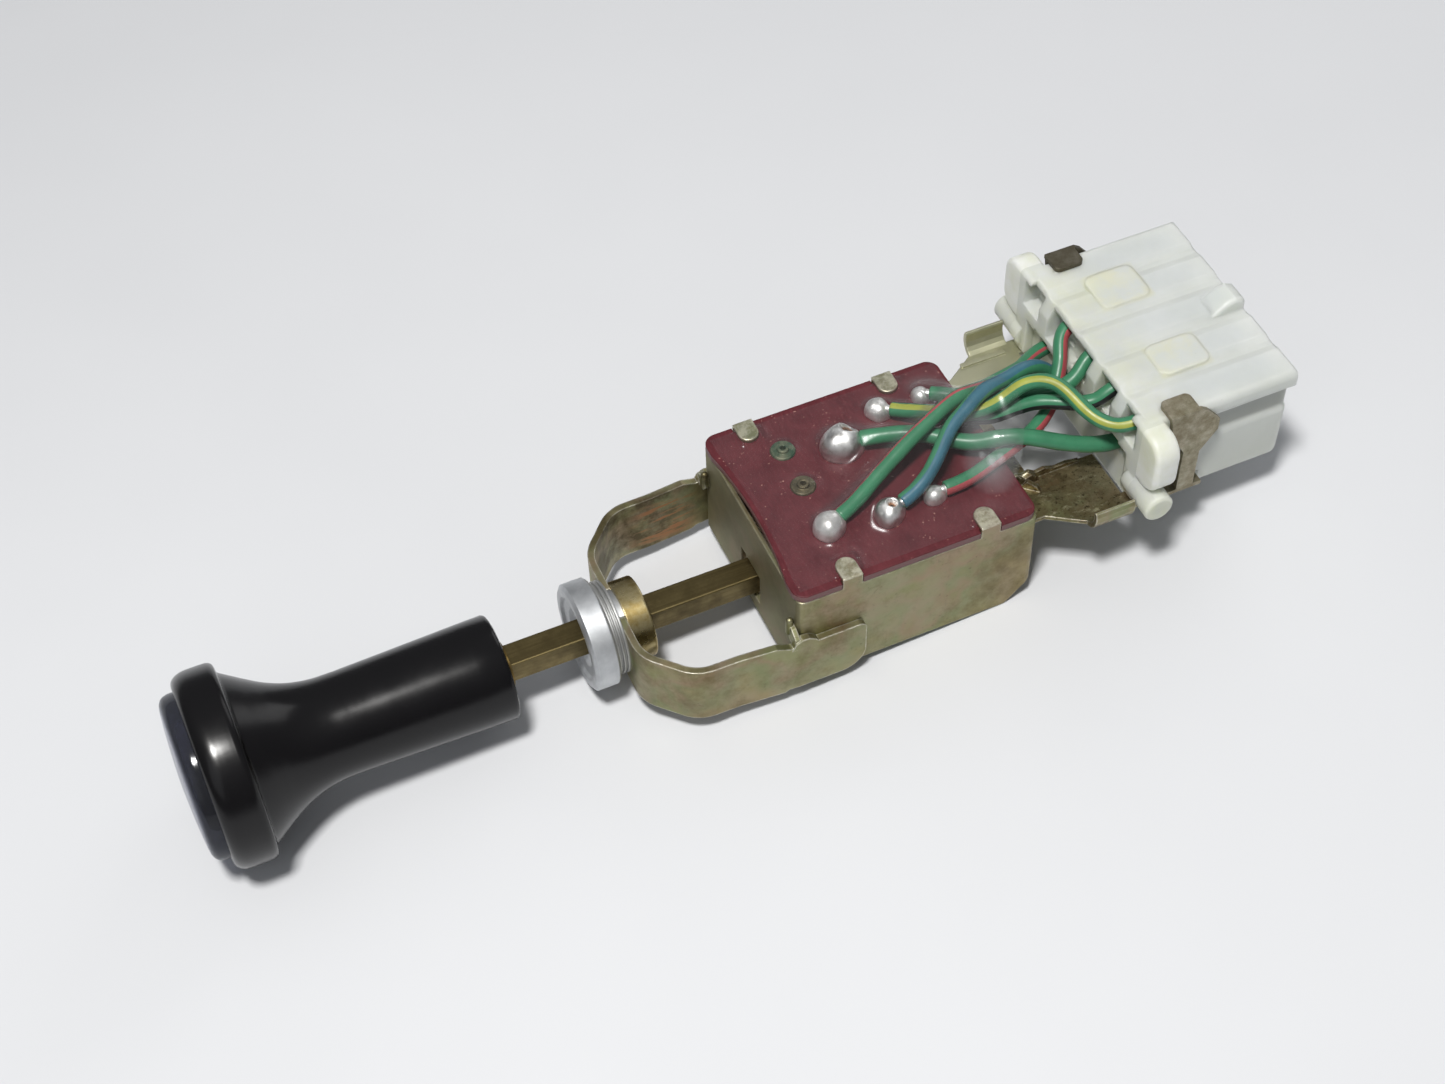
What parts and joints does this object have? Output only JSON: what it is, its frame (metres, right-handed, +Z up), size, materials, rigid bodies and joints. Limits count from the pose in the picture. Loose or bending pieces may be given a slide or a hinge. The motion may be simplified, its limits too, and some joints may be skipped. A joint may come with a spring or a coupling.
{
  "type": "pull knob lighting switch",
  "caption": "Push-pull lighting switch: black knob on a square brass shaft, bent yoke with ferrule nut, metal contact case, and a wired multi-way plug on a tail bracket.",
  "frame": {"origin": "on the shaft axis at the front face of the yoke, where the panel is clamped", "axes": "+X along the shaft from the knob towards the plug (the way the knob is pushed in), +Z up out of the terminal board, +Y to the far side"},
  "size_m": [0.1844, 0.0512, 0.0464],
  "materials": {
    "knob_black": "gloss",
    "clear_lens": "clear gloss",
    "symbol_disc": "satin",
    "shaft_brass": "dull drawn",
    "slider_moulding": "matte",
    "spring_steel": "drawn",
    "contact_brass": "satin",
    "turned_aluminium": "turned",
    "bush_gold": "yellow passivated",
    "zinc_yoke": "yellow passivated zinc",
    "zinc_case": "yellow passivated zinc",
    "zinc_tail_bracket": "yellow passivated zinc, stained",
    "phenolic_board": "satin laminate",
    "clear_film": "clear gloss",
    "solder": "smooth with flux stains",
    "dull_rivet": "tarnished",
    "nylon_housing": "translucent satin",
    "wire_insulation": "satin PVC"
  },
  "bodies": {
    "switch_body": {"yoke": "zinc_yoke", "panel_bush": "bush_gold", "ferrule_nut": "turned_aluminium", "case": "zinc_case", "terminal_board": "phenolic_board", "insulating_film": "clear_film", "terminal_1": "contact_brass", "terminal_2": "contact_brass", "terminal_3": "contact_brass", "terminal_4": "contact_brass", "terminal_5": "contact_brass", "terminal_6": "contact_brass", "terminal_7": "contact_brass", "solder_1": "solder", "solder_2": "solder", "solder_3": "solder", "solder_4": "solder", "solder_5": "solder", "solder_6": "solder", "solder_7": "solder", "board_rivet_1": "dull_rivet", "board_rivet_2": "dull_rivet", "tail_bracket": "zinc_tail_bracket", "connector_housing": "nylon_housing", "socket_1": "contact_brass", "socket_2": "contact_brass", "socket_3": "contact_brass", "socket_4": "contact_brass", "socket_5": "contact_brass", "socket_6": "contact_brass", "socket_7": "contact_brass", "wire_red_a": "wire_insulation", "wire_blue": "wire_insulation", "wire_plain_a": "wire_insulation", "wire_yellow": "wire_insulation", "wire_black": "wire_insulation", "wire_plain_b": "wire_insulation", "wire_red_b": "wire_insulation"},
    "plunger": {"knob_body": "knob_black", "knob_lens": "clear_lens", "knob_symbol_disc": "symbol_disc", "knob_insert": "shaft_brass", "shaft": "shaft_brass", "slider": "slider_moulding", "slider_pin": "spring_steel", "contact_plate_near": "contact_brass", "contact_plate_far": "contact_brass", "contact_spring_near_1": "spring_steel", "contact_spring_near_2": "spring_steel", "contact_spring_far_1": "spring_steel", "contact_spring_far_2": "spring_steel"}
  },
  "joints": [
    {"name": "pull_slide", "type": "slide", "parent": "switch_body", "child": "plunger", "axis": [1, 0, 0], "range_m": [0, 0.0126]}
  ]
}
